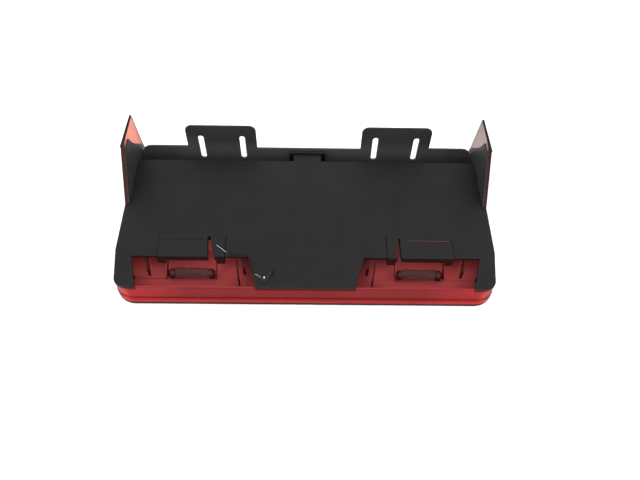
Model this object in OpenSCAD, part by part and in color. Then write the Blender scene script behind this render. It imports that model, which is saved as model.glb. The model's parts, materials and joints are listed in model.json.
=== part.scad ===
// High-mount third brake light: a red moulded lens tray with two side wings, a black housing
// panel with two open light chambers, two lift-out festoon bulb holders, and a steel mounting
// bracket with two slotted tabs. The wiring runs under the panel to a socket at the rear.
// Millimetres. +Z is up and the lens faces -Y. The origin is on the surface that the lamp rests
// on, under the middle of the lamp.

/* [Lamp body] */
// Width over the lens side walls
body_w = 321; // [316:0.5:326]
// Height of the housing panel's top face
panel_top = 25.5; // [25:0.25:26.5]
// Thickness of the housing panel
panel_t = 2.5; // [2:0.1:3]
// Thickness of the red lens walls and wings
lens_t = 2.2; // [2:0.1:2.4]
// Height of the stepped lip along the foot of the lens
lip_h = 8.7; // [8:0.1:12]
// How far the lip stands out in front of the lens face
lip_out = 1.4; // [1.2:0.1:2.4]

/* [Side wings] */
// Height of the front top corner of each wing
wing_front_h = 65.5; // [58:0.5:70]
// Height of the rear top corner of each wing
wing_rear_h = 63.5; // [56:0.5:68]
// Width of the rubber strip at the front top corner of each wing
trim_w = 3; // [2.4:0.1:3.4]
// Width of the rubber strip at the rear top corner of each wing
trim_tail = 1.2; // [1:0.1:2]

/* [Light chambers] */
// Distance from the middle of the lamp to the middle of each bulb
bulb_x = 96.8; // [95:0.2:98.5]
// Width of each chamber opening at its back edge
window_w = 98; // [94:0.5:100]
// Sideways lean of each chamber opening from back to front
window_lean = 8; // [4:0.5:10]
// Length of the festoon bulb over its caps
bulb_l = 41; // [40:0.5:42]
// Diameter of the bulb's glass
bulb_d = 10; // [9:0.5:10.5]

/* [Bulb holders] */
// Width of each holder from the outer foot to the tip of the spring arm
holder_w = 56; // [54:0.5:58]
// Depth of each holder, front to back
holder_d = 22.5; // [21:0.5:23]
// Clearance around each holder in its cut-out
holder_gap = 0.4; // [0.3:0.1:0.8]
// Opening of the left spring arm's slit at its mouth
left_slit = 5.5; // [3:0.5:6]
// Opening of the right spring arm's slit at its mouth
right_slit = 4; // [2:0.2:4.4]

/* [Mounting bracket] */
// Thickness of the bracket's sheet steel
sheet_t = 1.5; // [1.2:0.1:2]
// Height of the top edge of the slotted tabs
tab_top = 52.4; // [50:0.2:56]
// Width of each slotted tab
tab_w = 65.2; // [60:0.2:68]
// Distance from the middle of the lamp to the middle of each tab
tab_x = 81.8; // [78:0.2:84]
// Sideways offset of both tabs from the middle of the lamp
tab_shift = 1.4; // [0:0.2:2]
// Width of each slot
slot_w = 5.2; // [5:0.1:6.4]
// Length of each slot, end to end
slot_l = 30; // [20:1:32]
// Distance between the two slots of one tab
slot_pitch = 38.5; // [34:0.1:42]

/* [Wiring] */
// Diameter of the insulated leads
lead_d = 2.2; // [1.8:0.1:2.4]
// Diameter of the bare tinned earth wire
earth_d = 1; // [0.8:0.1:1.2]

/* [Hidden] */
$fn = 48;

half_w = body_w / 2;
inner_w = half_w - lens_t;
arc_steps = 12;

// Levels above the rest surface
panel_under = panel_top - panel_t;
lens_top = panel_under - 1;
rim_top = panel_top - 0.9;
floor_under = 2;
floor_top = 4;
groove_h = 2;

// Front-to-back places
panel_front = -80;
lens_front = -81;
lip_front = lens_front - lip_out;
taper_y = -44;
wing_y = 3;
floor_rear = -9;
housing_rear = 56;
window_back = -50.5;
bracket_y = 73.4;
rear_y = 83.5;

// Corner radii, and how far the sides draw in towards the front corners
panel_corner = 9;
panel_taper = 3.5;
lens_corner = 15;
lens_taper = 1.8;
lip_corner = 17.5;
lip_taper = 0.7;

// Cheek liners inside the wings
cheek_t = 1.3;
cheek_x = inner_w - 0.1 - cheek_t;
housing_half = cheek_x - 0.3;

// Bulb holders
holder_top = panel_top + 0.8;
holder_under = 20.3;
holder_front = -51.5;
holder_back = holder_front + holder_d;
foot_under = 15.6;
foot_w = 7;
arm_w = 8;
contact_t = 0.5;
bulb_y = -58;
bulb_z = 10;

// Screw places, as [x, y]
lens_screw_spots = [[-149.5, -60], [-22, -60], [22, -60], [149.5, -60]];
cover_screw_spots = [[-130, 4], [130, 4], [-130, 44], [130, 44], [0, 4]];
bracket_screw_x = [-132, -45, 45, 132];
bracket_screw_y = 65;
earth_spot = [-34, -71.6];

// Feed strips on the rear edge of the holders
strip_t = 0.5;
strip_x = 87.3;
strip_l = 36;
strip_y = -33.7;

// Socket for the supply plug, set in the rear wall
socket_w = 26;
socket_h = 13;
socket_z = 7;
socket_front = 38;
socket_rear = 72;
blade_x = 5.2;
blade_w = 6.3;
blade_t = 0.8;

// Gaps in the seats, the chamber wall and the tongue that the leads pass through
seat_gap_x = 75.5;
seat_gap_w = 24;
lead_gap_x = 89.5;
lead_gap_w = 10;
earth_gap_x = -19.5;
earth_gap_w = 5;
earth_hole = [-27.5, -64.5];

// Routes of the leads, one point for each bend
lead_run = panel_under - lead_d / 2 - 0.05;
left_feed_route = [
  [-97, -38.3, 23], [-97, -38, 21.4], [-97, -36.9, 19.7], [-97, -34.8, 18.9], [-97, -31, 18.8],
  [-97, -28, 19], [-97, -24.5, 20], [-97, -21.5, 21.3], [-97, -18, lead_run], [-96, -11, lead_run],
  [-92, -2, lead_run], [-85, 7, lead_run], [-75, 15, lead_run], [-62, 21, lead_run],
  [-48, 25, lead_run], [-34, 28, lead_run], [-21, 29.5, 21.6], [-13, 31, 20.4],
  [-9, 34, 18], [-8, 37.6, 17]
];
right_feed_route = [
  [97, -38.3, 23], [97, -38, 21.4], [97, -36.9, 19.7], [97, -34.8, 18.9], [97, -31, 18.8],
  [97, -28, 19], [97, -24.5, 20], [97, -21.5, 21.3], [97, -18, lead_run], [96, -11, lead_run],
  [92, -2, lead_run], [85, 7, lead_run], [75, 15, lead_run], [62, 21, lead_run],
  [48, 25, lead_run], [34, 28, lead_run], [21, 29.5, 21.6], [13, 31, 20.4],
  [9, 34, 18], [8, 37.6, 17]
];
right_earth_route = [
  [92, -38.3, 23], [92, -38, 21.4], [92, -36.9, 19.7], [92, -34.8, 18.9], [92, -31, 18.8],
  [92, -28, 19], [92, -24.5, 20], [92, -21.5, 21.3], [92, -18, lead_run], [90, -11, lead_run],
  [86, -4, lead_run], [79, 3, lead_run], [70, 9.5, lead_run], [58, 15.5, lead_run],
  [45, 19.5, lead_run], [32, 22.5, lead_run], [19, 25, 21.6], [10, 28, 20.4],
  [4.5, 33, 18], [3, 37.6, 17]
];
earth_lead_route = [
  [-30.4, -69.3, 27.4], [-29, -67.2, 27.3], [-27.9, -65.4, 26.6], [-27.5, -64.6, 25],
  [-27.5, -64.3, 23], [-27.8, -63, 21.4], [-28.3, -60.5, 20.6], [-28.3, -56.5, 20.6],
  [-26, -50, 21], [-22, -42, lead_run], [-19, -34, lead_run], [-17.5, -26, lead_run],
  [-17, -18, lead_run], [-16, -9, lead_run], [-13.5, 0, lead_run], [-11, 10, lead_run],
  [-7, 19, lead_run], [-4, 27, 21], [-3, 33, 18.4], [-3, 37.6, 17]
];
left_earth_route = [
  [-76, -40, 27.2], [-72.5, -42.6, 27.2], [-69, -45.4, 27], [-66, -47.4, 26.5],
  [-61, -48.6, 26.1], [-55, -48.6, 26.1], [-50, -49.6, 26.1], [-46.8, -53, 26.1],
  [-45.2, -58, 26.1], [-44.3, -63, 26.1], [-42.8, -67, 26.5], [-39.2, -69.7, 26.9]
];

// Places of the wire clips, as [x, y, angle, width of the channel for the leads]
clip_spots = [
  [-88.5, 2.5, 52, 3], [-55, 23, 16, 3], [86, 0.5, -49, 9.4], [54, 20, -16.5, 9.4],
  [-12.2, 5, 76, 3]
];

// Points along an arc from angle a0 to angle a1
function arc(cx, cy, r, a0, a1) = [
  for (i = [0:arc_steps])
    [cx + r * cos(a0 + (a1 - a0) * i / arc_steps), cy + r * sin(a0 + (a1 - a0) * i / arc_steps)]
];

// The same points on the other side of the lamp, in reverse order
function flipped(points) = [for (i = [len(points) - 1:-1:0]) [-points[i][0], points[i][1]]];

// Plan outline with rounded front corners. inset moves every wall inwards.
function plan_half(front, r, taper, rear, inset) = concat(
  [[half_w - inset, rear], [half_w - inset, taper_y]],
  arc(half_w - taper - r, front + r, r - inset, 0, -90)
);
function plan(front, r, taper, rear, inset = 0) = concat(
  plan_half(front, r, taper, rear, inset),
  flipped(plan_half(front, r, taper, rear, inset))
);

// Rings of a round tube that follows a route
function unit(v) = v / norm(v);
function tangent(route, i) =
  unit(route[min(i + 1, len(route) - 1)] - route[max(i - 1, 0)]);
function ring(route, i, r, sides) =
  let (t = tangent(route, i), u = unit(cross(t, [0, 0, 1])), v = cross(u, t))
    [for (k = [0:sides - 1]) route[i] + r * (cos(360 * k / sides) * u + sin(360 * k / sides) * v)];

module tube(route, d, sides = 8) {
  rings = len(route);
  points = [for (i = [0:rings - 1]) each ring(route, i, d / 2, sides)];
  first_cap = [for (k = [0:sides - 1]) k];
  last_cap = [for (k = [sides - 1:-1:0]) (rings - 1) * sides + k];
  walls = [
    for (i = [0:rings - 2], k = [0:sides - 1])
      let (a = i * sides + k, b = i * sides + (k + 1) % sides)
        [a, a + sides, b + sides, b]
  ];
  polyhedron(points = points, faces = concat([first_cap], walls, [last_cap]), convexity = 8);
}

// A flat plate that stands in the plane x = x0, drawn as [y, z] points
module standing_plate(x0, t, points) {
  translate([x0, 0, 0])
    rotate([90, 0, 90])
      linear_extrude(t)
        polygon(points);
}

// One side's shape as it is, or its mirror image for the left side
module on_side(side) {
  if (side < 0) mirror([1, 0, 0]) children();
  else children();
}

// Plan of one chamber opening on the right side, with a margin on its slanted sides
module window_plan(margin = 0) {
  inner = (bulb_x + 0.8) - window_w / 2;
  front = lens_front - 12;
  lean = window_lean * (window_back - front) / 30;
  polygon([
    [inner + margin, window_back],
    [inner + window_w - margin, window_back],
    [inner + window_w - lean - margin, front],
    [inner - lean + margin, front]
  ]);
}

// Plan of one holder's cut-out on the right side
module holder_cutout_plan() {
  translate([bulb_x - holder_w / 2 - holder_gap, window_back - 1])
    square([holder_w + 2 * holder_gap, holder_back + holder_gap - window_back + 1]);
}

module panel_plan() {
  step_y = wing_y - 0.2;
  right = concat(
    [[housing_half, housing_rear], [housing_half, step_y], [half_w, step_y]],
    [[half_w, taper_y]],
    arc(half_w - panel_taper - panel_corner, panel_front + panel_corner, panel_corner, 0, -90)
  );
  difference() {
    polygon(concat(right, flipped(right)));
    for (side = [-1, 1]) on_side(side) {
      window_plan();
      holder_cutout_plan();
    }
  }
}

// Round pad, boss or hole at one spot, between two levels
module screw_pad(spot, d, z0, z1) {
  translate([spot[0], spot[1], z0])
    cylinder(d = d, h = z1 - z0);
}

// Wing outline as [y, z] points, with the top edge lowered by drop
function wing_points(drop = 0) = [
  [wing_y, 0],
  [wing_y, panel_top],
  [34 - 0.75 * drop, wing_front_h - drop],
  [75 + 0.15 * drop, wing_rear_h - drop],
  [83, 13.5],
  [rear_y, 0]
];

module lens() {
  color([0.72, 0.06, 0.07]) {
    difference() {
      union() {
        // Front and side wall of the tray, up to the seat of the gasket
        translate([0, 0, floor_under])
          linear_extrude(lens_top - floor_under)
            lens_wall_plan(lens_front, lens_corner, lens_taper);
        // Stepped lip around the foot, with eased edges
        linear_extrude(lip_h)
          lens_wall_plan(lip_front, lip_corner, lip_taper, 1);
        translate([0, 0, 1])
          linear_extrude(lip_h - 2)
            lens_wall_plan(lip_front, lip_corner, lip_taper);
        // Raised rim where the chambers are open at the top
        for (side = [-1, 1])
          on_side(side)
            translate([0, 0, lens_top - 1])
              linear_extrude(rim_top - lens_top + 1)
                intersection() {
                  lens_wall_plan(lens_front, lens_corner, lens_taper);
                  window_plan(0.4);
                }
        // Floor of the light chambers
        translate([0, 0, floor_under])
          linear_extrude(floor_top - floor_under)
            polygon(plan(lens_front, lens_corner, lens_taper, floor_rear, 1));
        // Side walls and wings
        for (x0 = [-half_w, inner_w])
          standing_plate(x0, lens_t, wing_points());
      }
      // Groove between the main face and the lip
      translate([0, 0, lip_h])
        linear_extrude(groove_h)
          difference() {
            polygon(plan(lens_front - 5, lens_corner + 5, -2, wing_y + 1, -5));
            polygon(plan(lens_front, lens_corner, lens_taper, wing_y + 2, 1));
          }
      for (spot = lens_screw_spots) screw_pad(spot, 3.4, 0, floor_top + 1);
    }
  }
}

// Wall of the lens tray: the outer outline given, and one inner outline for every level
module lens_wall_plan(front, r, taper, inset = 0) {
  difference() {
    polygon(plan(front, r, taper, wing_y, inset));
    translate([0, 2])
      polygon(plan(lens_front - 2, lens_corner, lens_taper, wing_y, lens_t));
  }
}

// Baffle fin that hangs under the panel at one end of a chamber, right side. It leans towards
// the middle of the lamp at the front.
module baffle_fin(x, t, lean, front) {
  fin_under = 12;
  back = window_back + 6;
  translate([0, 0, fin_under])
    linear_extrude(panel_under - fin_under + 0.5)
      polygon([[x, back], [x + t, back], [x + t - lean, front], [x - lean, front]]);
}

module housing() {
  wall = 2;
  chamber_y = -17;
  skirt_x = 153;
  color([0.045, 0.045, 0.05])
    difference() {
      union() {
        translate([0, 0, panel_under])
          linear_extrude(panel_t)
            panel_plan();
        // Rear wall, chamber wall and side skirts
        translate([-housing_half, housing_rear - wall, 2.8])
          cube([2 * housing_half, wall, panel_under - 2.3]);
        translate([-skirt_x, chamber_y - wall, floor_top + 0.1])
          cube([2 * skirt_x, wall, panel_under - floor_top]);
        for (side = [-1, 1])
          on_side(side) {
            translate([skirt_x - wall, chamber_y - wall, floor_top + 0.1])
              cube([wall, housing_rear - chamber_y + wall, panel_under - floor_top]);
            holder_seat();
            baffle_fin(135.9, 2.1, 5.7, -62);
            baffle_fin(59.4, 1.6, 4.9, -71);
            baffle_fin(53, 2.4, 2.6, -60);
          }
        // Bosses for the screws
        for (spot = lens_screw_spots) screw_pad(spot, 7, floor_top + 0.1, panel_under + 1);
        for (spot = cover_screw_spots) screw_pad(spot, 8, 4.1, panel_under + 1);
        screw_pad(earth_spot, 6, 17, panel_under + 1);
      }
      for (spot = lens_screw_spots) screw_pad(spot, 2.4, 0, 18);
      for (spot = cover_screw_spots) screw_pad(spot, 2.6, 0, 18);
      screw_pad(earth_spot, 2.4, 18, panel_top + 1);
      // Ways for the leads, through the seats, the chamber wall and the tongue
      for (side = [-1, 1])
        on_side(side) {
          translate([seat_gap_x, holder_back - 4.1, 17.9])
            cube([seat_gap_w, 6.2, panel_under - 17.9]);
          translate([lead_gap_x, chamber_y - wall - 0.1, 19.5])
            cube([lead_gap_w, wall + 0.2, panel_under - 19.5]);
        }
      translate([earth_gap_x, chamber_y - wall - 0.1, 19.5])
        cube([earth_gap_w, wall + 0.2, panel_under - 19.5]);
      screw_pad(earth_hole, 3.6, panel_under - 1, panel_top + 1);
      // Window for the socket
      translate([-socket_w / 2 - 0.2, housing_rear - wall - 1, socket_z - 0.2])
        cube([socket_w + 0.4, wall + 2, socket_h + 0.4]);
    }
}

// Ledge behind one cut-out that the holder rests on, right side
module holder_seat() {
  seat_back = holder_back + holder_gap + 1.5;
  translate([bulb_x - holder_w / 2, holder_back - 4, 18])
    cube([holder_w, seat_back - holder_back + 4, 2.1]);
  translate([bulb_x - holder_w / 2, holder_back + holder_gap, 18])
    cube([holder_w, 1.5, panel_under - 17.5]);
}

module base_cover() {
  cover_t = 2.4;
  color([0.06, 0.06, 0.065])
    difference() {
      union() {
        translate([-inner_w + 0.2, floor_rear + 0.5, 0])
          cube([2 * inner_w - 0.4, 76 - floor_rear - 0.5, cover_t]);
        for (spot = cover_screw_spots) screw_pad(spot, 10, 0, 4);
        for (y = [14, 24, 34])
          translate([-120, y, cover_t - 0.5])
            cube([240, 1.6, 2]);
      }
      for (spot = cover_screw_spots) {
        screw_pad(spot, 3.4, -1, 5);
        screw_pad(spot, 6.6, -1, 2.1);
      }
      for (x = bracket_screw_x) screw_pad([x, bracket_screw_y], 3.2, -1, 3);
    }
}

// Front outline of the bracket's upright sheet, as drawn in its own plane
module bracket_front() {
  end_corner = 9;
  tab_corner = 6.5;
  foot_z = 2.4;
  middle_top = panel_top - 1.8;
  difference() {
    union() {
      translate([-housing_half, foot_z])
        square([2 * housing_half, panel_top - end_corner - foot_z]);
      translate([-housing_half + end_corner, foot_z])
        square([2 * (housing_half - end_corner), panel_top - foot_z]);
      for (side = [-1, 1])
        translate([side * (housing_half - end_corner), panel_top - end_corner])
          circle(r = end_corner);
    }
    translate([tab_shift - tab_x, middle_top])
      square([2 * tab_x, 10]);
  }
  for (side = [-1, 1])
    translate([side * tab_x + tab_shift, 0]) {
      translate([-tab_w / 2, foot_z + 2])
        square([tab_w, tab_top - tab_corner - foot_z - 2]);
      translate([-tab_w / 2 + tab_corner, panel_top])
        square([tab_w - 2 * tab_corner, tab_top - panel_top]);
      for (end = [-1, 1])
        translate([end * (tab_w / 2 - tab_corner), tab_top - tab_corner])
          circle(r = tab_corner);
    }
}

// One slot of the bracket, round at both ends
module slot_shape() {
  reach = slot_l / 2 - slot_w / 2;
  square([slot_w, 2 * reach], center = true);
  for (end = [-1, 1]) translate([0, end * reach]) circle(d = slot_w);
}

module mounting_bracket() {
  foot_front = 58;
  foot_z = 2.4;
  slot_mid = tab_top - 12.7 - slot_l / 2;
  color([0.05, 0.05, 0.055])
    difference() {
      union() {
        translate([0, bracket_y + sheet_t, 0])
          rotate([90, 0, 0])
            linear_extrude(sheet_t)
              difference() {
                bracket_front();
                for (side = [-1, 1], end = [-1, 1])
                  translate([side * tab_x + tab_shift + end * slot_pitch / 2, slot_mid])
                    slot_shape();
                // Way through for the socket and its plug
                translate([-socket_w / 2 - 2, socket_z - 2])
                  square([socket_w + 4, socket_h + 2]);
              }
        translate([-148, foot_front, foot_z])
          cube([296, bracket_y - foot_front + 0.5, sheet_t]);
      }
      for (x = bracket_screw_x) screw_pad([x, bracket_screw_y], 4.4, 0, 6);
    }
}

module cheek(side) {
  color([0.05, 0.05, 0.055])
    on_side(side)
      standing_plate(cheek_x, cheek_t, [
        [wing_y + 1, 2.6], [wing_y + 1, panel_top + 0.4], [32.2, 61.8], [48.6, 61.2],
        [50, 58.2], [53.2, 52], [58, 45.1], [66, 36.2], [73.2, 28.3], [79, 21.4], [81, 13.5],
        [81.4, 2.6]
      ]);
}

module left_cheek() { cheek(-1); }
module right_cheek() { cheek(1); }

// Rubber strip bonded along the top edge of a wing, narrower towards the rear
module wing_trim(side) {
  strip_h = 1.1;
  color([0.03, 0.03, 0.03])
    on_side(side)
      intersection() {
        standing_plate(half_w - lens_t / 2 - trim_w / 2, trim_w, [
          [34, wing_front_h + 0.02], [34.4, wing_front_h + strip_h],
          [74.4, wing_rear_h + strip_h], [75, wing_rear_h + 0.02]
        ]);
        translate([half_w - lens_t / 2, 0, wing_rear_h - 5])
          linear_extrude(15)
            polygon([[-trim_w / 2, 33], [trim_w / 2, 33], [trim_tail / 2, 76], [-trim_tail / 2, 76]]);
      }
}

module left_wing_trim() { wing_trim(-1); }
module right_wing_trim() { wing_trim(1); }

// Sealing strip between the lens wall and the housing panel
module lens_gasket() {
  color([0.03, 0.03, 0.03])
    translate([0, 0, lens_top])
      linear_extrude(panel_under - lens_top)
        difference() {
          intersection() {
            polygon(plan(lens_front + 1, lens_corner - 1, lens_taper, wing_y - 0.5, 0.3));
            polygon(plan(panel_front, panel_corner, panel_taper, wing_y - 0.5, 0));
          }
          translate([0, 2])
            polygon(plan(lens_front - 2, lens_corner, lens_taper, wing_y, lens_t));
          for (side = [-1, 1]) on_side(side) window_plan(-0.2);
        }
}

// Curved reflector behind one bulb
module reflector(side) {
  sheet = 0.9;
  r = 12;
  length = 78;
  color([0.82, 0.82, 0.84])
    on_side(side)
      translate([bulb_x - length / 2, -31.7, floor_top + 0.4 + r])
        rotate([90, 0, 90])
          linear_extrude(length)
            difference() {
              circle(r = r);
              circle(r = r - sheet);
              translate([-2 * r, -2 * r])
                square([2 * r, 4 * r]);
              translate([-1, 1])
                square([2 * r, 2 * r]);
            }
}

module left_reflector() { reflector(-1); }
module right_reflector() { reflector(1); }

// Plan of the slit between the spring arm and the box of a holder, right side. The arm lies on
// the side nearer the middle of the lamp. The slit's box side drifts outwards towards the back,
// where the slit is end_w wide.
module slit_plan(slit, drift, end_w) {
  x_arm = bulb_x - holder_w / 2 + arm_w;
  slit_back = holder_back - 1.6;
  polygon([
    [x_arm, holder_front - 1],
    [x_arm + slit, holder_front - 1],
    [x_arm + slit + drift, slit_back],
    [x_arm + slit + drift - end_w, slit_back]
  ]);
}

module holder(side, slit, drift, end_w) {
  x_in = bulb_x - holder_w / 2;
  x_out = x_in + holder_w;
  x_box = x_in + arm_w + slit + max(drift, 0);
  foot_d = 8;
  wall = 1.8;
  color([0.04, 0.04, 0.045])
    on_side(side)
      difference() {
        union() {
          translate([0, 0, holder_under])
            linear_extrude(holder_top - holder_under)
              difference() {
                translate([x_in, holder_front])
                  square([holder_w, holder_d]);
                slit_plan(slit, drift, end_w);
              }
          // Feet that carry the contacts
          for (x = [x_in, x_out - foot_w])
            translate([x, holder_front, foot_under])
              cube([foot_w, foot_d, holder_under - foot_under + 1]);
        }
        // Hollow underneath the box
        translate([x_box + wall, holder_front + wall, holder_under - 1])
          cube([x_out - foot_w - x_box - 2 * wall, holder_d - 2 * wall, 4]);
        // Groove for the feed strip
        translate([strip_x - 0.1, strip_y - 0.1, holder_top - 1.4])
          cube([strip_l + 0.2, strip_t + 0.2, 3]);
      }
}

module left_holder() { holder(-1, left_slit, 2.1, 2.4); }
module right_holder() { holder(1, right_slit, -0.8, 1.2); }

// Spring blade that hangs from a foot and holds one cap of the bulb
module contact(side, outer) {
  x_face = bulb_x + (outer ? bulb_l / 2 : -bulb_l / 2 - contact_t);
  color([0.78, 0.58, 0.25])
    on_side(side)
      difference() {
        standing_plate(x_face, contact_t, [
          [-44, foot_under], [-44, 19.5], [-50.5, 19.5], [-58, 15.5], [-62, 12.5],
          [-62, 7], [-55, 6.5], [-51, foot_under - 3]
        ]);
        translate([x_face - 1, bulb_y, bulb_z])
          rotate([0, 90, 0])
            cylinder(d = 2, h = contact_t + 2);
      }
}

module left_feed_contact() { contact(-1, true); }
module left_earth_contact() { contact(-1, false); }
module right_feed_contact() { contact(1, true); }
module right_earth_contact() { contact(1, false); }

// Brass strip let into the rear edge of a holder, which takes the feed to its contact
module feed_strip(side) {
  color([0.6, 0.45, 0.22])
    on_side(side)
      translate([strip_x, strip_y, holder_top - 1.3])
        cube([strip_l, strip_t, 1.45]);
}

module left_feed_strip() { feed_strip(-1); }
module right_feed_strip() { feed_strip(1); }

// Bulb parts are turned about the bulb's own axis and laid along X
module at_bulb(side) {
  on_side(side)
    translate([bulb_x, bulb_y, bulb_z])
      rotate([0, 90, 0])
        children();
}

module bulb_glass(side) {
  r = bulb_d / 2;
  wall = 0.6;
  straight = 12.5;
  end = 15.6;
  neck = 3.4;
  color([0.85, 0.88, 0.9, 0.4])
    at_bulb(side)
      rotate_extrude()
        polygon([
          [neck, -end], [r, -straight], [r, straight], [neck, end],
          [neck - wall, end], [r - wall, straight - 0.3], [r - wall, 0.3 - straight],
          [neck - wall, -end]
        ]);
}

module left_bulb_glass() { bulb_glass(-1); }
module right_bulb_glass() { bulb_glass(1); }

// Two caps with pointed ends, one at each end of the glass
module bulb_caps(side) {
  tip = bulb_l / 2;
  color([0.8, 0.8, 0.78])
    at_bulb(side)
      for (end = [0, 1])
        mirror([0, 0, end])
          rotate_extrude()
            polygon([
              [0, 16.2], [3.9, 16.2], [3.9, 14.8], [4.3, 14.8], [4.3, 17.4], [1.6, tip], [0, tip]
            ]);
}

module left_bulb_caps() { bulb_caps(-1); }
module right_bulb_caps() { bulb_caps(1); }

// Coiled filament between two straight support wires
module bulb_filament(side) {
  coil = 13;
  color([0.55, 0.55, 0.55])
    at_bulb(side) {
      cylinder(d = 0.9, h = coil, center = true);
      for (end = [-1, 1])
        translate([0, 0, end * (coil / 2 + 4.6)])
          cylinder(d = 0.5, h = 9.4, center = true);
    }
}

module left_bulb_filament() { bulb_filament(-1); }
module right_bulb_filament() { bulb_filament(1); }

module connector_body() {
  wall = 2.5;
  flange = 3;
  collar = 4;
  mouth_h = 7.5;
  mouth_front = 54;
  collar_front = 69.5;
  rear_wall_in = housing_rear - 2;
  mouth_z = socket_z + (socket_h - mouth_h) / 2;
  color([0.06, 0.06, 0.065])
    difference() {
      union() {
        translate([-socket_w / 2, socket_front, socket_z])
          cube([socket_w, socket_rear - socket_front, socket_h]);
        // Flange against the outside of the rear wall
        translate([-socket_w / 2 - flange, housing_rear, socket_z - 2])
          cube([socket_w + 2 * flange, 3.4, socket_h + 4]);
        // Snap ears inside the wall
        for (side = [-1, 1])
          on_side(side)
            translate([socket_w / 2 - 0.5, rear_wall_in - 2.5, socket_z + 3])
              cube([1.7, 2.4, socket_h - 6]);
        // Collar that closes the bracket's cut-out from the front
        translate([-socket_w / 2 - collar, collar_front, socket_z - 2.6])
          cube([socket_w + 2 * collar, socket_rear - collar_front, socket_h + 4.6]);
      }
      translate([-socket_w / 2 + wall, mouth_front, mouth_z])
        cube([socket_w - 2 * wall, socket_rear, mouth_h]);
      for (x = [-blade_x, blade_x])
        translate([x - blade_w / 2 - 0.05, socket_front - 1, socket_z + socket_h / 2 - 0.5])
          cube([blade_w + 0.1, mouth_front - socket_front + 2, blade_t + 0.2]);
    }
}

module connector_blades() {
  color([0.75, 0.75, 0.7])
    for (x = [-blade_x, blade_x])
      translate([x - blade_w / 2, socket_front + 2, socket_z + socket_h / 2 - blade_t / 2])
        cube([blade_w, 26, blade_t]);
}

module left_feed_lead() { color([0.07, 0.07, 0.07]) tube(left_feed_route, lead_d); }
module right_feed_lead() { color([0.07, 0.07, 0.07]) tube(right_feed_route, lead_d); }
module right_earth_lead() { color([0.07, 0.07, 0.07]) tube(right_earth_route, lead_d); }
module earth_lead() { color([0.07, 0.07, 0.07]) tube(earth_lead_route, lead_d); }
module left_earth_wire() { color([0.8, 0.78, 0.74]) tube(left_earth_route, earth_d); }

// Moulded saddles that hold the leads up against the underside of the panel
module wire_clips() {
  foot = 2.2;
  clip_l = 5;
  clip_h = 4.2;
  color([0.05, 0.05, 0.05])
    for (spot = clip_spots)
      translate([spot[0], spot[1], panel_under - clip_h])
        rotate([0, 0, spot[2]])
          difference() {
            translate([-clip_l / 2, -spot[3] / 2 - foot, 0])
              cube([clip_l, spot[3] + 2 * foot, clip_h]);
            translate([-clip_l, -spot[3] / 2, 1.2])
              cube([2 * clip_l, spot[3], clip_h]);
          }
}

// Crimp eyelet where the bare earth wire and the insulated earth lead meet
module earth_eyelet() {
  color([0.7, 0.7, 0.68])
    translate([earth_spot[0], earth_spot[1], panel_top])
      difference() {
        union() {
          cylinder(d = 6, h = 0.7);
          for (a = [160, 33])
            rotate([0, 0, a])
              translate([2, -1.1, 0])
                cube([3.6, 2.2, 0.7]);
        }
        translate([0, 0, -1])
          cylinder(d = 3.1, h = 3);
      }
}

// Pan-head screw with its head's underside at the origin and a cross recess
module pan_screw(head_d, head_h, shank_d, length) {
  difference() {
    union() {
      cylinder(d = head_d, h = head_h * 0.55);
      translate([0, 0, head_h * 0.55])
        cylinder(d1 = head_d, d2 = head_d * 0.62, h = head_h * 0.45);
      translate([0, 0, -length])
        cylinder(d = shank_d, h = length + 0.2);
    }
    for (a = [0, 90])
      rotate([0, 0, a])
        translate([-head_d * 0.3, -0.4, head_h - 0.9])
          cube([head_d * 0.6, 0.8, 2]);
  }
}

module earth_screw() {
  color([0.1, 0.1, 0.1])
    translate([earth_spot[0], earth_spot[1], panel_top + 0.7])
      pan_screw(5.4, 2, 2.35, 7);
}

module lens_screws() {
  color([0.35, 0.35, 0.36])
    for (spot = lens_screw_spots)
      translate([spot[0], spot[1], floor_under])
        mirror([0, 0, 1])
          pan_screw(5.4, 1.7, 2.35, 12);
}

module cover_screws() {
  color([0.35, 0.35, 0.36])
    for (spot = cover_screw_spots)
      translate([spot[0], spot[1], 2.1])
        mirror([0, 0, 1])
          pan_screw(6, 1.8, 2.55, 12);
}

module bracket_screws() {
  color([0.1, 0.1, 0.1])
    for (x = bracket_screw_x)
      translate([x, bracket_screw_y, 3.9])
        pan_screw(7.4, 2.4, 3.1, 3.5);
}

lens();
housing();
base_cover();
mounting_bracket();
left_cheek();
right_cheek();
left_wing_trim();
right_wing_trim();
lens_gasket();
left_reflector();
right_reflector();
left_holder();
right_holder();
left_feed_contact();
left_earth_contact();
right_feed_contact();
right_earth_contact();
left_feed_strip();
right_feed_strip();
left_bulb_glass();
right_bulb_glass();
left_bulb_caps();
right_bulb_caps();
left_bulb_filament();
right_bulb_filament();
connector_body();
connector_blades();
left_feed_lead();
right_feed_lead();
left_earth_wire();
right_earth_lead();
earth_lead();
wire_clips();
earth_eyelet();
earth_screw();
lens_screws();
cover_screws();
bracket_screws();
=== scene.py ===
"""Looks of the third brake light: materials, fine pieces, camera, light and floor."""

import json
import math

import bpy
import bmesh
from mathutils import Matrix, Vector


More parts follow.
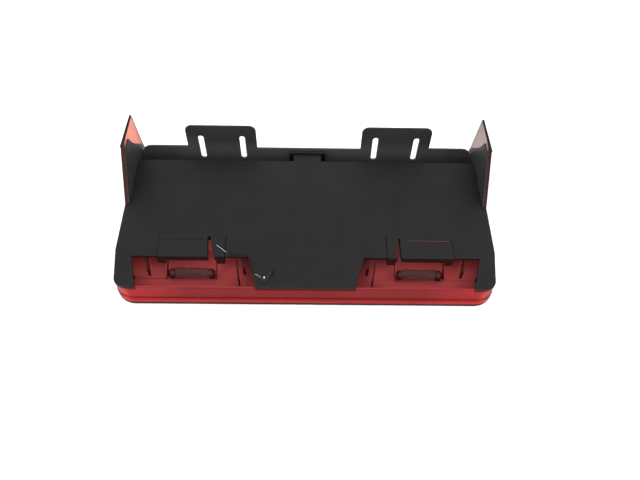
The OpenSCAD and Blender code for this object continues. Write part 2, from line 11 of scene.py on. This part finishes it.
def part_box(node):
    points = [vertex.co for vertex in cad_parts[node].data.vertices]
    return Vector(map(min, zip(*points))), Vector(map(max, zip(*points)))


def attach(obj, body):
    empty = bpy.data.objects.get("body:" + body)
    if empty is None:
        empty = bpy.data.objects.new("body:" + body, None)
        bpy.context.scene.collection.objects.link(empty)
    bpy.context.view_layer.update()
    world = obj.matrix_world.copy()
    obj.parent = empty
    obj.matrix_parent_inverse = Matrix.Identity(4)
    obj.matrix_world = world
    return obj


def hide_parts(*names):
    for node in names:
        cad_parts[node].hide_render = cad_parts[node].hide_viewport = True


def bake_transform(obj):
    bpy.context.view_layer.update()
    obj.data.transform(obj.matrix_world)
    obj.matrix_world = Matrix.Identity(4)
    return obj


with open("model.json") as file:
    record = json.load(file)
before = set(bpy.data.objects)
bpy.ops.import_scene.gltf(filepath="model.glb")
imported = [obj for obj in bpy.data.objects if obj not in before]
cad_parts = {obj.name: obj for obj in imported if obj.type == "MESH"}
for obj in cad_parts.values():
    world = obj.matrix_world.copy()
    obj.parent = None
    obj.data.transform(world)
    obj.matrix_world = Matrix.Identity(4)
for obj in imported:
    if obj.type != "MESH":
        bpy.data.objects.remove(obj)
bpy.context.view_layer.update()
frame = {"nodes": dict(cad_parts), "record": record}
MM = 0.001
nodes = frame["nodes"]

# Fitted to the photograph: place in metres, and turn in degrees
CAMERA_PLACE = (0.0022, -0.3322, 0.4663)
CAMERA_YAW, CAMERA_PITCH, CAMERA_ROLL = 1.829, 55.797, -2.094
SENSOR_WIDTH = 36
FOCAL_LENGTH = 35


# ---------------------------------------------------------------- camera

def add_camera():
    """The camera at the photograph's viewing angle."""
    yaw, pitch, roll = (math.radians(a) for a in (CAMERA_YAW, CAMERA_PITCH, CAMERA_ROLL))
    forward = Vector((
        math.sin(yaw) * math.cos(pitch), math.cos(yaw) * math.cos(pitch), -math.sin(pitch),
    ))
    right = Vector((math.cos(yaw), -math.sin(yaw), 0))
    down = forward.cross(right)
    x_axis = math.cos(roll) * right + math.sin(roll) * down
    y_axis = math.sin(roll) * right - math.cos(roll) * down
    data = bpy.data.cameras.new("camera")
    data.sensor_width = SENSOR_WIDTH
    data.lens = FOCAL_LENGTH
    data.clip_start = 0.01
    data.clip_end = 50
    camera = bpy.data.objects.new("camera", data)
    camera.matrix_world = Matrix((
        (x_axis.x, y_axis.x, -forward.x, CAMERA_PLACE[0]),
        (x_axis.y, y_axis.y, -forward.y, CAMERA_PLACE[1]),
        (x_axis.z, y_axis.z, -forward.z, CAMERA_PLACE[2]),
        (0, 0, 0, 1),
    ))
    bpy.context.scene.collection.objects.link(camera)
    bpy.context.scene.camera = camera


# ---------------------------------------------------------------- materials

class Shader:
    """A small helper that wires up one procedural material."""

    def __init__(self, name, **values):
        self.material = bpy.data.materials.new(name)
        self.material.use_nodes = True
        self.tree = self.material.node_tree
        self.bsdf = self.tree.nodes["Principled BSDF"]
        for key, value in values.items():
            label = key.replace("_", " ").title().replace("Ior", "IOR")
            self.bsdf.inputs[label].default_value = value
        self.place = self.tree.nodes.new("ShaderNodeTexCoord").outputs["Object"]

    def node(self, kind, inputs=None, **attributes):
        made = self.tree.nodes.new(kind)
        for key, value in attributes.items():
            setattr(made, key, value)
        for key, value in (inputs or {}).items():
            if isinstance(value, bpy.types.NodeSocket):
                self.tree.links.new(value, made.inputs[key])
            else:
                made.inputs[key].default_value = value
        return made

    def stretched(self, x, y, z):
        return self.node("ShaderNodeMapping", {"Vector": self.place, "Scale": (x, y, z)}).outputs[0]

    def noise(self, scale, detail=4.0, roughness=0.55, vector=None, distortion=0.0):
        return self.node("ShaderNodeTexNoise", {
            "Vector": vector or self.place, "Scale": scale, "Detail": detail,
            "Roughness": roughness, "Distortion": distortion,
        }).outputs["Fac"]

    def cells(self, scale, vector=None):
        return self.node("ShaderNodeTexVoronoi", {
            "Vector": vector or self.place, "Scale": scale,
        }).outputs["Distance"]

    def span(self, value, from_low, from_high, to_low, to_high):
        return self.node("ShaderNodeMapRange", {
            "Value": value, "From Min": from_low, "From Max": from_high,
            "To Min": to_low, "To Max": to_high,
        }).outputs[0]

    def math(self, operation, a, b=0.0):
        return self.node("ShaderNodeMath", {0: a, 1: b}, operation=operation).outputs[0]

    def mix(self, share, a, b):
        made = self.node("ShaderNodeMix", data_type="RGBA")
        for key, value in (("Factor", share), ("A", a), ("B", b)):
            socket = [s for s in made.inputs if s.name == key and s.enabled][0]
            if isinstance(value, bpy.types.NodeSocket):
                self.tree.links.new(value, socket)
            else:
                socket.default_value = value
        return [s for s in made.outputs if s.enabled][0]

    def axes(self):
        """The place along X, Y and Z, in metres."""
        return self.node("ShaderNodeSeparateXYZ", {"Vector": self.place}).outputs[:]

    def normal_x(self):
        """How far the surface faces sideways, from -1 to 1."""
        normal = self.node("ShaderNodeTexCoord").outputs["Normal"]
        return self.node("ShaderNodeSeparateXYZ", {"Vector": normal}).outputs["X"]

    def edges(self, low, high):
        """1 on worn outer edges, 0 elsewhere, broken up by a fine noise."""
        point = self.node("ShaderNodeNewGeometry").outputs["Pointiness"]
        worn = self.span(point, low, high, 0.0, 1.0)
        return self.math("MULTIPLY", worn, self.span(self.noise(900, 5), 0.42, 0.62, 0.0, 1.0))

    def link(self, socket, name):
        self.tree.links.new(socket, self.bsdf.inputs[name])
        return self

    def colour(self, socket):
        return self.link(socket, "Base Color")

    def rough(self, socket):
        return self.link(socket, "Roughness")

    def bump(self, height, distance, strength=0.5):
        made = self.node("ShaderNodeBump", {
            "Height": height, "Distance": distance, "Strength": strength,
        })
        return self.link(made.outputs[0], "Normal")


def grey(value, warm=0.0):
    return (value * (1 + warm), value, value * (1 - warm), 1.0)


def moulded_black(name, level=0.0052, grain=1500, depth=0.00006, roughness=0.5):
    """Injection-moulded black plastic: fine grain, faint flow marks, dust and scuffs.
    Inside the light chambers it carries painted red light from the lens, as the photograph shows it
    there."""
    s = Shader(name)
    x, y, z = s.axes()
    flow = s.noise(14, 3, vector=s.stretched(1, 3, 1), distortion=0.6)
    dust = s.span(s.noise(320, 6, 0.7), 0.58, 0.78, 0.0, 0.5)
    clean = s.mix(flow, grey(level * 0.8), grey(level * 1.25, 0.03))
    weathered = s.mix(dust, clean, grey(level * 2.2, 0.08))
    # Painted red light: below the panel top, inside the chambers, the black takes a red tint for
    # the light of the lens
    below_top = s.span(z, 0.0235, 0.0245, 1.0, 0.0)
    chamber_red_light_mask = s.math("MULTIPLY", below_top, s.span(y, -0.02, -0.03, 0.0, 1.0))
    chamber_red_light_tint = (level * 6, level * 1.5, level * 1.3, 1)
    finish = s.mix(chamber_red_light_mask, weathered, chamber_red_light_tint)
    # Painted red light: the back of the light chambers, seen through the slits, is red in the
    # photograph
    in_front = s.span(y, -0.0196, -0.0194, 0.0, 1.0)
    at_back = s.span(y, -0.0166, -0.0164, 1.0, 0.0)
    behind = s.math("MULTIPLY", in_front, at_back)
    behind = s.math("MULTIPLY", behind, s.span(z, 0.0228, 0.0232, 1.0, 0.0))
    slit_red_light_tint = (0.62, 0.11, 0.1, 1)
    s.colour(s.mix(behind, finish, slit_red_light_tint))
    s.link(s.span(chamber_red_light_mask, 0.0, 1.0, 0.14, 0.02), "Specular IOR Level")
    s.rough(s.span(s.noise(60, 5), 0.3, 0.7, roughness - 0.08, roughness + 0.12))
    grainy = s.math("ADD", s.cells(grain), s.noise(grain * 0.6, 3))
    return s.bump(grainy, depth, 0.45).material


def powder_coat(name):
    """Black powder coat on sheet steel: orange peel, a little paler at rubbed edges."""
    s = Shader(name, specular_ior_level=0.18)
    peel = s.noise(700, 2, 0.4)
    worn = s.edges(0.56, 0.66)
    # In the photograph the sheet is paler low down, where it stands behind the panel: painted light
    # that lifts the shade there
    low = s.span(s.axes()[2], 0.016, 0.034, 1.0, 0.0)
    coat = s.mix(low, s.mix(s.noise(25, 4), grey(0.018), grey(0.026, 0.03)), grey(0.052, 0.02))
    s.colour(s.mix(worn, coat, grey(0.07, 0.05)))
    s.rough(s.span(s.noise(45, 5), 0.3, 0.7, 0.36, 0.52))
    return s.bump(s.math("ADD", peel, s.noise(2600, 2)), 0.00008, 0.4).material


def rubber(name):
    """Matt extruded rubber with fine lines along it and a grey bloom."""
    s = Shader(name, specular_ior_level=0.12)
    lines = s.noise(900, 3, vector=s.stretched(1, 0.06, 1))
    s.colour(s.mix(s.span(s.noise(90, 5), 0.5, 0.75, 0.0, 0.6), grey(0.009), grey(0.015, 0.02)))
    s.rough(s.span(s.noise(200, 4), 0.3, 0.7, 0.68, 0.86))
    return s.bump(lines, 0.00012, 0.5).material


def red_plastic(name):
    """Red lens plastic: cloudy in the deep tray, clearer and paler in the wings. The tints of the
    two wings, the corners and the foot are painted light and shade, copying how each looks in the
    photograph."""
    lo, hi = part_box("lens")
    s = Shader(name, ior=1.2, specular_ior_level=0.06)
    x, y, z = s.axes()
    above_rim = s.span(z, 0.0225, 0.025, 0.0, 1.0)
    wing = s.math("MULTIPLY", above_rim, s.span(y, 0.001, 0.003, 0.0, 1.0))
    haze = s.span(s.noise(36, 5, 0.6), 0.35, 0.7, 0.0, 1.0)
    # Inside of the tray, paler towards the back of the light chambers: painted light that lifts the
    # shade under the holders and the panel
    front_red, back_red_painted_light = (0.25, 0.036, 0.037, 1), (0.7, 0.11, 0.112, 1)
    inside_cloud = (0.24, 0.036, 0.036, 1)
    inside = s.mix(s.span(y, -0.072, -0.048, 0.0, 1.0), front_red, back_red_painted_light)
    inside = s.mix(s.math("MULTIPLY", haze, 0.3), inside, inside_cloud)
    # Outside face: middle, then painted light on the brighter ends and lip, a painted glow on the
    # orange corners, and a painted contact shadow on the dark foot
    middle_red, end_red_painted_light = (0.165, 0.012, 0.013, 1), (0.32, 0.018, 0.02, 1)
    lip_red_painted_light, corner_orange_painted_glow = (0.42, 0.03, 0.028, 1), (0.8, 0.1, 0.03, 1)
    outside_cloud, foot_painted_contact_shadow = (0.14, 0.013, 0.014, 1), (0.012, 0.006, 0.006, 1)
    from_middle = s.math("ABSOLUTE", x)
    outside = s.mix(s.span(from_middle, 0.095, 0.15, 0.0, 1.0), middle_red, end_red_painted_light)
    outside = s.mix(s.span(z, 0.008, 0.0088, 0.6, 0.0), outside, lip_red_painted_light)
    near_side = s.span(from_middle, 0.144, 0.157, 0.0, 1.0)
    corner = s.math("MULTIPLY", near_side, s.span(y, -0.07, -0.06, 1.0, 0.0))
    outside = s.mix(corner, outside, corner_orange_painted_glow)
    outside = s.mix(s.math("MULTIPLY", haze, 0.35), outside, outside_cloud)
    outside = s.mix(s.span(z, 0.003, 0.0054, 0.97, 0.0), outside, foot_painted_contact_shadow)
    beside = s.span(from_middle, hi.x - 0.0012, hi.x - 0.0006, 0.0, 1.0)
    shell = s.math("MAXIMUM", s.span(y, lo.y + 0.002, lo.y + 0.0032, 1.0, 0.0), beside)
    tray = s.mix(shell, inside, outside)
    # Painted shade: the cut edges of a wing are darkened against its clear faces
    edge = s.span(s.math("ABSOLUTE", s.normal_x()), 0.3, 0.7, 1.0, 0.0)
    # Painted light: the left wing is tinted orange-pink and the right wing grey-pink, for how light
    # passes through each
    left_wing_painted_light, right_wing_painted_light = (0.72, 0.21, 0.145, 1), (0.33, 0.225, 0.21, 1)
    wing_painted_light_tint = s.mix(s.span(x, -0.01, 0.01, 0.0, 1.0), left_wing_painted_light, right_wing_painted_light)
    # Dark margins run along the sloping front edge and, much narrower, the rear edge
    front_slope, front_foot, rear_slope = 0.775, 0.01676, 0.16
    above_foot = s.math("ADD", y, front_foot)
    from_front = s.math("SUBTRACT", above_foot, s.math("MULTIPLY", z, front_slope))
    from_rear = s.math("ADD", y, s.math("MULTIPLY", z, rear_slope))
    edge = s.math("MAXIMUM", edge, s.span(from_front, 0.006, 0.011, 0.9, 0.0))
    edge = s.math("MAXIMUM", edge, s.span(from_rear, 0.0841, 0.0844, 0.0, 0.8))
    margin_dark = (0.045, 0.012, 0.013, 1)
    s.colour(s.mix(wing, tray, s.mix(edge, wing_painted_light_tint, margin_dark)))
    clear = s.math("MULTIPLY", wing, s.span(edge, 0.0, 1.0, 1.0, 0.1))
    s.link(s.span(clear, 0.0, 1.0, 0.22, 0.88), "Transmission Weight")
    s.rough(s.span(s.math("ADD", haze, s.noise(240, 5)), 0.5, 1.5, 0.28, 0.42))
    return s.bump(s.noise(60, 2), 0.0002, 0.15).material


def metal(name, colour, dull, roughness, streak=(1, 1, 0.05), metallic=1.0):
    """Bare or plated metal with drawn streaks and patches of tarnish."""
    s = Shader(name, metallic=metallic)
    patches = s.span(s.noise(420, 6, 0.65), 0.5, 0.75, 0.0, 1.0)
    lines = s.noise(2400, 3, vector=s.stretched(*streak))
    s.colour(s.mix(patches, colour, dull))
    s.rough(s.span(s.math("ADD", lines, patches), 0.3, 1.6, roughness - 0.08, roughness + 0.25))
    return s.bump(lines, 0.00003, 0.3).material


def bulb_glass(name):
    """Bulb glass, darker along the top and clear underneath."""
    lo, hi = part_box("left_bulb_glass")
    middle = (lo.z + hi.z) / 2
    s = Shader(name, ior=1.06, specular_ior_level=0.2)
    z = s.axes()[2]
    patchy = s.span(s.noise(260, 4), 0.3, 0.7, -0.15, 0.15)
    dark_top_mask = s.math("ADD", s.span(z, middle - 0.003, middle + 0.0035, 0.0, 1.0), patchy)
    clear, dark_top_colour = (0.97, 0.9, 0.89, 1), (0.42, 0.38, 0.36, 1)
    s.colour(s.mix(dark_top_mask, clear, dark_top_colour))
    s.link(s.span(dark_top_mask, 0.0, 1.0, 1.0, 0.965), "Transmission Weight")
    s.rough(s.span(s.noise(300, 4), 0.3, 0.7, 0.12, 0.24))
    return s.bump(s.noise(180, 2), 0.00002, 0.1).material


def earth_strand(name):
    """Tinned wire, bare at both ends. The photograph shows only the ends: its dark middle
    is a guess."""
    s = Shader(name, metallic=1.0)
    y = s.axes()[1]
    bare_at_holder = s.span(y, -0.0475, -0.0465, 0.0, 1.0)
    bare_at_eyelet = s.span(y, -0.0685, -0.0675, 1.0, 0.0)
    bare = s.math("ADD", bare_at_holder, bare_at_eyelet)
    tin = s.mix(s.noise(900, 4), grey(0.62, 0.03), grey(0.4, 0.06))
    s.colour(s.mix(bare, grey(0.012), tin))
    s.rough(s.span(s.noise(1500, 3), 0.3, 0.7, 0.25, 0.45))
    return s.bump(s.noise(2500, 2), 0.00003, 0.3).material


def earth_head(name):
    """Black screw head with a painted highlight, a bright spot in its middle."""
    lo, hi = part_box("earth_screw")
    s = Shader(name, metallic=1.0)
    x, y = s.axes()[:2]
    across = s.math("SUBTRACT", x, (lo.x + hi.x) / 2)
    along = s.math("SUBTRACT", y, (lo.y + hi.y) / 2)
    squared = s.math("ADD", s.math("MULTIPLY", across, across), s.math("MULTIPLY", along, along))
    spot, spot_edge = 0.5 * MM, 0.9 * MM
    painted_highlight_spot = s.span(squared, spot ** 2, spot_edge ** 2, 1.0, 0.0)
    s.colour(s.mix(painted_highlight_spot, s.mix(s.noise(600, 4), grey(0.016), grey(0.026, 0.1)), grey(0.85)))
    s.rough(s.span(s.noise(900, 3), 0.3, 0.7, 0.34, 0.5))
    return s.bump(s.noise(2400, 3), 0.00003, 0.3).material


def insulation(name):
    """Soft black wire covering with a faint grain and dusty sheen."""
    s = Shader(name, specular_ior_level=0.2)
    s.colour(s.mix(s.span(s.noise(800, 5), 0.45, 0.7, 0.0, 1.0), grey(0.009), grey(0.014, 0.03)))
    s.rough(s.span(s.noise(350, 4), 0.3, 0.7, 0.42, 0.62))
    return s.bump(s.noise(3000, 3), 0.00003, 0.35).material


MATERIALS = {
    "red_lens": red_plastic("red_lens"),
    "black_housing": moulded_black("black_housing"),
    # The cheeks are the housing's black made paler: painted light that lifts their shade
    "black_cheek_painted_light": moulded_black("black_cheek_painted_light", level=0.02),
    "black_holder": moulded_black("black_holder", grain=2600, depth=0.00003, roughness=0.42),
    "painted_steel": powder_coat("painted_steel"),
    "rubber": rubber("rubber"),
    # Painted reflection: the reflector's metal is tinted red for the red lens around it
    "reflector": metal(
        "reflector", (0.85, 0.17, 0.16, 1), (0.6, 0.12, 0.12, 1), 0.45, (1, 1, 1), metallic=0.3),
    "brass": metal("brass", (0.13, 0.055, 0.045, 1), (0.06, 0.03, 0.025, 1), 0.45),
    # The contacts are dull reddish brown: tarnish, and a painted reflection of the red lens around
    # them
    "contact_tarnish_red_reflection": metal("contact_tarnish_red_reflection", (0.2, 0.05, 0.04, 1), (0.12, 0.035, 0.03, 1), 0.55),
    # Painted reflection: the caps are tinted dark red for the red lens around them
    "bulb_cap": metal("bulb_cap", (0.1, 0.025, 0.022, 1), (0.06, 0.018, 0.016, 1), 0.7),
    "filament": metal("filament", grey(0.12), grey(0.06), 0.4),
    "tinned_metal": metal("tinned_metal", grey(0.07, 0.04), grey(0.02, 0.1), 0.45, (0.2, 0.2, 1)),
    "earth_strand": earth_strand("earth_strand"),
    "black_screw": metal("black_screw", grey(0.02), grey(0.03, 0.1), 0.42, (1, 1, 1)),
    "earth_head": earth_head("earth_head"),
    "zinc_screw": metal("zinc_screw", grey(0.45, 0.03), grey(0.2, 0.12), 0.35, (1, 1, 1)),
    "bulb_glass": bulb_glass("bulb_glass"),
    "lead_insulation": insulation("lead_insulation"),
}


# Finishes whose record slot has another name
# Nodes whose finish differs from the rest of their slot
NODE_FINISH = {
    # Painted shade: the left feed strip takes the black screw finish so it shows no glint, unlike
    # the right one
    "left_feed_strip": "black_screw",
    "earth_screw": "earth_head",
    "left_cheek": "black_cheek_painted_light",
    "right_cheek": "black_cheek_painted_light",
    "left_feed_contact": "contact_tarnish_red_reflection",
    "left_earth_contact": "contact_tarnish_red_reflection",
    "right_feed_contact": "contact_tarnish_red_reflection",
    "right_earth_contact": "contact_tarnish_red_reflection",
}


def finish_with(obj, finish):
    obj.data.materials.clear()
    obj.data.materials.append(MATERIALS[finish])


# ---------------------------------------------------------------- mesh helpers

def piece(name, mesh, finish, body, stands_for):
    """A new visual piece from a bmesh, in the shared frame. It takes the place of the CAD nodes
    in stands_for. A piece that bends between two bodies has no body of its own."""
    data = bpy.data.meshes.new(name)
    bmesh.ops.recalc_face_normals(mesh, faces=mesh.faces)
    mesh.to_mesh(data)
    mesh.free()
    data.shade_smooth()
    obj = bpy.data.objects.new(name, data)
    bpy.context.scene.collection.objects.link(obj)
    finish_with(obj, finish)
    if body:
        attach(obj, body)
    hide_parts(*stands_for)
    return obj


def smooth_route(points, steps=5):
    """Catmull-Rom points through a route given in millimetres, returned in metres."""
    p = [Vector(q) for q in points]
    p = [2 * p[0] - p[1]] + p + [2 * p[-1] - p[-2]]
    out = []
    for i in range(1, len(p) - 2):
        for k in range(steps):
            t = k / steps
            a, b, c, d = p[i - 1], p[i], p[i + 1], p[i + 2]
            out.append(0.5 * (2 * b + (c - a) * t + (2 * a - 5 * b + 4 * c - d) * t * t
                              + (3 * b - a - 3 * c + d) * t * t * t))
    out.append(p[-2])
    return [q * MM for q in out]


# A cross product shorter than this gives no direction
NO_LENGTH = 1e-3
# Radians that the two waves of a wobbling tube advance from ring to ring
WOBBLE_FAST, WOBBLE_SLOW = 1.7, 0.43


def tube(path, radius, sides=14, wobble=0.0):
    """A closed tube along a path in metres. wobble varies its radius a little along the way."""
    mesh = bmesh.new()
    rings = []
    up = Vector((0, 0, 1))
    for i, point in enumerate(path):
        t = (path[min(i + 1, len(path) - 1)] - path[max(i - 1, 0)]).normalized()
        u = t.cross(up)
        if u.length < NO_LENGTH:
            u = t.cross(Vector((0, 1, 0)))
        u.normalize()
        v = u.cross(t)
        up = v.normalized()
        r = radius * (1 + wobble * math.sin(i * WOBBLE_FAST) * math.sin(i * WOBBLE_SLOW))
        ring = []
        for k in range(sides):
            a = 2 * math.pi * k / sides
            ring.append(mesh.verts.new(point + r * (math.cos(a) * u + math.sin(a) * v)))
        rings.append(ring)
    for a, b in zip(rings, rings[1:]):
        for k in range(sides):
            mesh.faces.new((a[k], a[(k + 1) % sides], b[(k + 1) % sides], b[k]))
    mesh.faces.new(rings[0][::-1])
    mesh.faces.new(rings[-1])
    return mesh


# Points nearer than this, in metres, are one point
SAME_POINT = 1e-7


def lathe(profile, centre, sides=48):
    """Solid of revolution about X through centre. profile is a closed loop of (x, r) in
    millimetres."""
    mesh = bmesh.new()
    loops = []
    for k in range(sides):
        a = 2 * math.pi * k / sides
        loop = []
        for x, r in profile:
            around = (centre[0] + x, centre[1] + r * math.cos(a), centre[2] + r * math.sin(a))
            loop.append(mesh.verts.new(Vector(around) * MM))
        loops.append(loop)
    n = len(profile)
    for k in range(sides):
        a, b = loops[k], loops[(k + 1) % sides]
        for i in range(n):
            mesh.faces.new((a[i], a[(i + 1) % n], b[(i + 1) % n], b[i]))
    bmesh.ops.remove_doubles(mesh, verts=mesh.verts, dist=SAME_POINT)
    flat = [f for f in mesh.faces if f.calc_area() < SAME_POINT ** 2]
    bmesh.ops.delete(mesh, geom=flat, context="FACES_ONLY")
    return mesh


# ---------------------------------------------------------------- pieces

# Routes in millimetres, each from the end that moves. LEAD_RUN is the height under the panel.
LEAD_RUN = 21.85
LEFT_FEED = [
    (-97, -38.3, 23), (-97, -38, 21.4), (-97, -36.9, 19.7), (-97, -34.8, 18.9),
    (-97, -31, 18.8), (-97, -28, 19), (-97, -24.5, 20), (-97, -21.5, 21.3),
    (-97, -18, LEAD_RUN), (-96, -11, LEAD_RUN),
    (-92, -2, LEAD_RUN), (-85, 7, LEAD_RUN), (-75, 15, LEAD_RUN), (-62, 21, LEAD_RUN),
    (-48, 25, LEAD_RUN), (-34, 28, LEAD_RUN), (-21, 29.5, 21.6), (-13, 31, 20.4),
    (-9, 34, 18), (-8, 37.6, 17),
]
RIGHT_FEED = [(-x, y, z) for x, y, z in LEFT_FEED]
RIGHT_EARTH = [
    (92, -38.3, 23), (92, -38, 21.4), (92, -36.9, 19.7), (92, -34.8, 18.9), (92, -31, 18.8),
    (92, -28, 19), (92, -24.5, 20), (92, -21.5, 21.3), (92, -18, LEAD_RUN), (90, -11, LEAD_RUN),
    (86, -4, LEAD_RUN), (79, 3, LEAD_RUN), (70, 9.5, LEAD_RUN), (58, 15.5, LEAD_RUN),
    (45, 19.5, LEAD_RUN), (32, 22.5, LEAD_RUN), (19, 25, 21.6), (10, 28, 20.4),
    (4.5, 33, 18), (3, 37.6, 17),
]
EARTH_LEAD = [
    (-30.4, -69.3, 27.4), (-29, -67.2, 27.3), (-27.9, -65.4, 26.6), (-27.5, -64.6, 25),
    (-27.5, -64.3, 23), (-27.8, -63, 21.4), (-28.3, -60.5, 20.6), (-28.3, -56.5, 20.6),
    (-26, -50, 21), (-22, -42, LEAD_RUN), (-19, -34, LEAD_RUN), (-17.5, -26, LEAD_RUN),
    (-17, -18, LEAD_RUN), (-16, -9, LEAD_RUN), (-13.5, 0, LEAD_RUN), (-11, 10, LEAD_RUN),
    (-7, 19, LEAD_RUN), (-4, 27, 21), (-3, 33, 18.4), (-3, 37.6, 17),
]
LEFT_EARTH = [
    (-76, -40, 27.2), (-72.5, -42.6, 27.2), (-69, -45.4, 27), (-66, -47.4, 26.5),
    (-61, -48.6, 26.1), (-55, -48.6, 26.1), (-50, -49.6, 26.1), (-46.8, -53, 26.1),
    (-45.2, -58, 26.1), (-44.3, -63, 26.1), (-42.8, -67, 26.5), (-39.2, -69.7, 26.9),
]


# Finish and radius in millimetres
INSULATED = ("lead_insulation", 1.1)
STRAND = ("earth_strand", 0.18)


def add_leads():
    """The leads as smooth round wires. Those that end in a holder are left without a body; the
    route's point number given with them is not used."""
    for name, node, route, (finish, radius), holder, last in (
        ("left_feed_wire", "left_feed_lead", LEFT_FEED, INSULATED, "left_bulb_unit", 3),
        ("right_feed_wire", "right_feed_lead", RIGHT_FEED, INSULATED, "right_bulb_unit", 3),
        ("right_earth_wire", "right_earth_lead", RIGHT_EARTH, INSULATED, "right_bulb_unit", 3),
        ("left_earth_strand", "left_earth_wire", LEFT_EARTH, STRAND, "left_bulb_unit", 6),
        ("earth_wire", "earth_lead", EARTH_LEAD, INSULATED, None, None),
    ):
        mesh = tube(smooth_route(route), radius * MM, wobble=0.03)
        wire = piece(name, mesh, finish, None if holder else "lamp_body", [node])
        if holder:
            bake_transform(wire)


# The bulb's glass in millimetres, from its middle: the straight part, and one shoulder as its
# start, reach, neck radius and rounding
GLASS_STRAIGHT, GLASS_END = 9, 15.6
GLASS_OUTER_R, GLASS_INNER_R, NECK_INNER_R = 5, 4.4, 2.9
OUTER_SHOULDER = (12.2, 3.4, 3.4, 1.6)
INNER_SHOULDER = (12, 3.0, 2.9, 1.5)
# The filament in millimetres
COIL_TURNS, COIL_R, COIL_HALF, COIL_SAG, FILAMENT_R = 26, 0.42, 6.5, 0.5, 0.11
SUPPORT = (7.4, 9, 12, 15.6)


def shoulder(start, reach, neck, rounding, steps=12):
    """The glass's shoulder as points (x, r), from the straight part to the cap."""
    angles = [math.radians(90 * i / steps) for i in range(steps + 1)]
    return [(start + reach * math.sin(a), neck + rounding * math.cos(a)) for a in angles]


def glass_profile():
    """The wall of the glass as a closed loop of (x, r)."""
    right_side = (
        [(GLASS_STRAIGHT, GLASS_OUTER_R)] + shoulder(*OUTER_SHOULDER) + [(GLASS_END, NECK_INNER_R)]
        + shoulder(*INNER_SHOULDER)[::-1] + [(GLASS_STRAIGHT, GLASS_INNER_R)]
    )
    return right_side + [(-x, r) for x, r in right_side[::-1]]


def filament_path(per_turn=12):
    """A sagging coil between two straight support wires."""
    path = [Vector((-x, 0, 0)) for x in SUPPORT[::-1]]
    steps = COIL_TURNS * per_turn
    for i in range(steps + 1):
        a = 2 * math.pi * COIL_TURNS * i / steps
        x = -COIL_HALF + 2 * COIL_HALF * i / steps
        sag = -COIL_SAG * math.cos(math.pi * x / (2 * COIL_HALF))
        path.append(Vector((x, COIL_R * math.cos(a), COIL_R * math.sin(a) + sag)))
    return path + [Vector((x, 0, 0)) for x in SUPPORT]


def add_bulbs():
    """Festoon bulbs: blown glass with rounded shoulders and a coiled filament."""
    for tag in ("left", "right"):
        lo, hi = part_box(f"{tag}_bulb_glass")
        centre = (lo + hi) / 2 / MM
        body = f"{tag}_bulb"
        glass = lathe(glass_profile(), centre)
        piece(f"{tag}_glass", glass, "bulb_glass", body, [f"{tag}_bulb_glass"])
        coil = tube([(p + centre) * MM for p in filament_path()], FILAMENT_R * MM, 6)
        piece(f"{tag}_filament", coil, "filament", body, [f"{tag}_bulb_filament"])


# Edge work on the CAD nodes, in metres
WELD_DISTANCE, EDGE_ROUND = 2e-6, 0.25 * MM
SHARP = math.radians(40)


def dress_cad_nodes():
    """Materials for the CAD nodes that are shown, and a small round on their outer edges."""
    for entry in frame["record"]["subparts"]:
        obj = nodes[entry["node"]]
        finish_with(obj, NODE_FINISH.get(entry["node"], entry["material_slot"]))
        obj.data.shade_flat()
        weld = obj.modifiers.new("weld", "WELD")
        weld.merge_threshold = WELD_DISTANCE
        bevel = obj.modifiers.new("round", "BEVEL")
        bevel.width = EDGE_ROUND
        bevel.segments = 2
        bevel.limit_method = "ANGLE"
        bevel.angle_limit = SHARP


# ---------------------------------------------------------------- stage

# Half width of the floor and how far it lies below the part, in metres
FLOOR_HALF, FLOOR_DROP = 6, 0.0002
SKY_STRENGTH = 1.7


def add_stage():
    """Plain pale floor, a soft even sky and three large soft boxes."""
    mesh = bmesh.new()
    bmesh.ops.create_grid(mesh, x_segments=2, y_segments=2, size=FLOOR_HALF)
    data = bpy.data.meshes.new("floor")
    mesh.to_mesh(data)
    mesh.free()
    floor = bpy.data.objects.new("floor", data)
    floor.location.z = -FLOOR_DROP
    bpy.context.scene.collection.objects.link(floor)
    s = Shader("floor", roughness=0.9, specular_ior_level=0.0)
    s.colour(s.mix(s.noise(3), (0.9, 0.9, 0.9, 1), (0.92, 0.92, 0.92, 1)))
    data.materials.append(s.material)
    world = bpy.data.worlds.new("sky")
    bpy.context.scene.world = world
    world.use_nodes = True
    background = world.node_tree.nodes["Background"]
    background.inputs["Color"].default_value = (1, 1, 1, 1)
    background.inputs["Strength"].default_value = SKY_STRENGTH
    for name, place, size, power in (
        ("left_box", (-1.7, -1.5, 1.5), 2.0, 18),
        ("right_box", (1.7, -1.5, 1.5), 2.0, 16),
        ("top_box", (0.2, -0.6, 2.6), 2.4, 10),
    ):
        data = bpy.data.lights.new(name, "AREA")
        data.size = size
        data.energy = power
        lamp = bpy.data.objects.new(name, data)
        lamp.location = place
        lamp.rotation_euler = (-Vector(place)).to_track_quat("-Z", "Y").to_euler()
        bpy.context.scene.collection.objects.link(lamp)
    bpy.context.scene.view_settings.view_transform = "Standard"


add_camera()
add_leads()
add_bulbs()
dress_cad_nodes()
add_stage()
